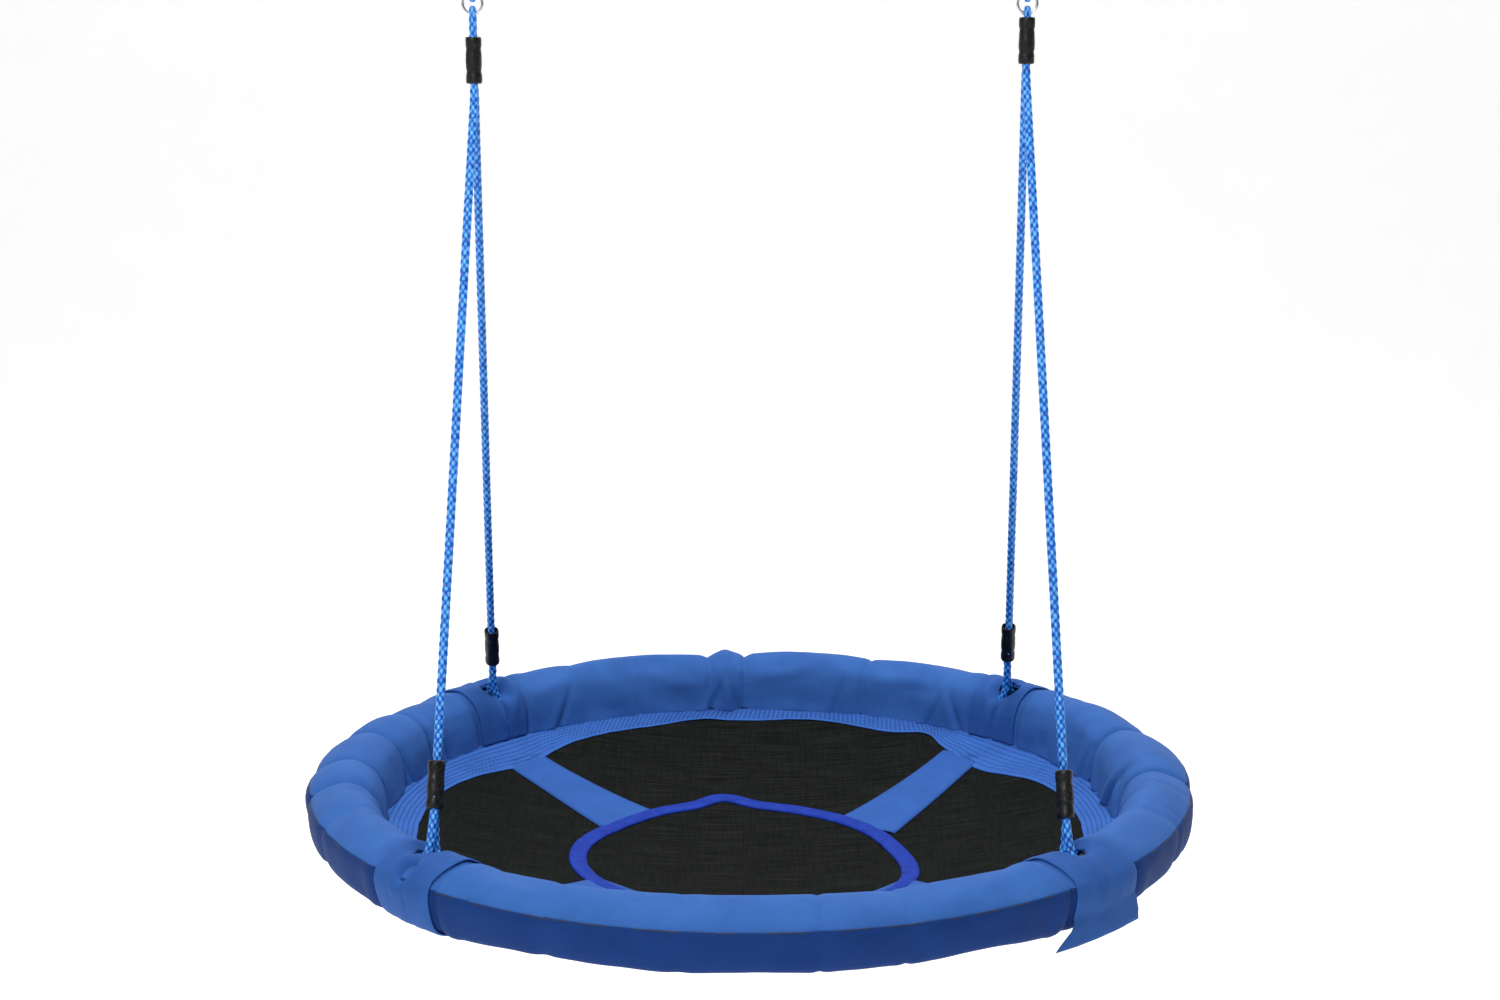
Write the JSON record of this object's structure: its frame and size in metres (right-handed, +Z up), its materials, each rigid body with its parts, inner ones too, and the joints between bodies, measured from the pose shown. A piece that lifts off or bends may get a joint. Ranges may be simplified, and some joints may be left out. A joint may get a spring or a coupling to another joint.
{
  "type": "saucer nest swing",
  "caption": "Round nest swing: a padded steel hoop with a dished black fabric mat and blue cover, hung by two rope slings from steel rings and hanging eyes.",
  "frame": {"origin": "on the swing's axis, midway between the two hanging eyes", "axes": "+X to the right along the axis of both hanging eyes, +Y to the back, +Z up"},
  "size_m": [1.001, 1.001, 1.1325],
  "materials": {
    "thimble_steel": "bright zinc, satin",
    "ring_steel": "polished",
    "rope": "braided polypropylene, slightly shiny",
    "hose": "matt black",
    "crimp_sleeve": "black shrink sleeve, semi-gloss",
    "screw_steel": "zinc plated",
    "hoop_steel": "black powder coat",
    "foam": "closed-cell foam",
    "cover_blue": "coated oxford cloth, light side",
    "cover_side_blue": "coated oxford cloth",
    "border_blue": "stitched oxford cloth",
    "mat_black": "woven mesh, matt black",
    "tape_blue": "satin webbing",
    "web_blue": "oxford cloth strap",
    "wrap_blue": "oxford cloth",
    "hook_tape": "hook and loop"
  },
  "bodies": {
    "hanging_eyes": {"left_thimble": "thimble_steel", "right_thimble": "thimble_steel"},
    "hanging_ropes": {"left_hanging_rope": "rope", "right_hanging_rope": "rope", "left_hanging_sleeve": "crimp_sleeve", "right_hanging_sleeve": "crimp_sleeve"},
    "connecting_rings": {"left_ring": "ring_steel", "right_ring": "ring_steel"},
    "left_sling": {"left_rope": "rope", "left_top_sleeve": "crimp_sleeve", "left_front_sleeve": "crimp_sleeve", "left_back_sleeve": "crimp_sleeve", "left_front_hose": "hose", "left_back_hose": "hose"},
    "saucer": {"tube_right": "hoop_steel", "tube_back": "hoop_steel", "tube_left": "hoop_steel", "tube_front": "hoop_steel", "tube_screws": "screw_steel", "foam_right": "foam", "foam_back": "foam", "foam_left": "foam", "foam_front": "foam", "cover_top": "cover_blue", "cover_side": "cover_side_blue", "mat_border": "border_blue", "mat": "mat_black", "mat_tape": "tape_blue", "web_back_right": "web_blue", "web_back_left": "web_blue", "web_front_left": "web_blue", "web_front_right": "web_blue", "wrap_back_right": "wrap_blue", "wrap_back_left": "wrap_blue", "wrap_front_left": "wrap_blue", "wrap_front_right": "wrap_blue", "wrap_fasteners": "hook_tape"},
    "right_sling": {"right_rope": "rope", "right_top_sleeve": "crimp_sleeve", "right_front_sleeve": "crimp_sleeve", "right_back_sleeve": "crimp_sleeve", "right_front_hose": "hose", "right_back_hose": "hose"}
  },
  "joints": [
    {"name": "swing", "type": "hinge", "parent": "hanging_eyes", "child": "hanging_ropes", "pos_m": [0, 0, 0], "axis": [1, 0, 0], "range_deg": [-45, 45]},
    {"name": "ring_pivot", "type": "hinge", "parent": "hanging_ropes", "child": "connecting_rings", "pos_m": [0, 0, -0.1225], "axis": [1, 0, 0], "range_deg": [-25, 25]},
    {"name": "sway", "type": "hinge", "parent": "connecting_rings", "child": "left_sling", "pos_m": [-0.3, 0, -0.133], "axis": [0, 1, 0], "range_deg": [-10, 10]},
    {"name": "sway_left", "type": "hinge", "parent": "left_sling", "child": "saucer", "pos_m": [-0.3273, 0, -1.017], "axis": [0, 1, 0], "range_deg": [-10, 10]},
    {"name": "sway_right", "type": "hinge", "parent": "saucer", "child": "right_sling", "pos_m": [0.3273, 0, -1.017], "axis": [0, 1, 0], "range_deg": [-10, 10]}
  ],
  "couplings": [
    {"joint": "sway_left", "follows": "sway", "ratio": -0.9166},
    {"joint": "sway_right", "follows": "sway", "ratio": 0.9166}
  ]
}
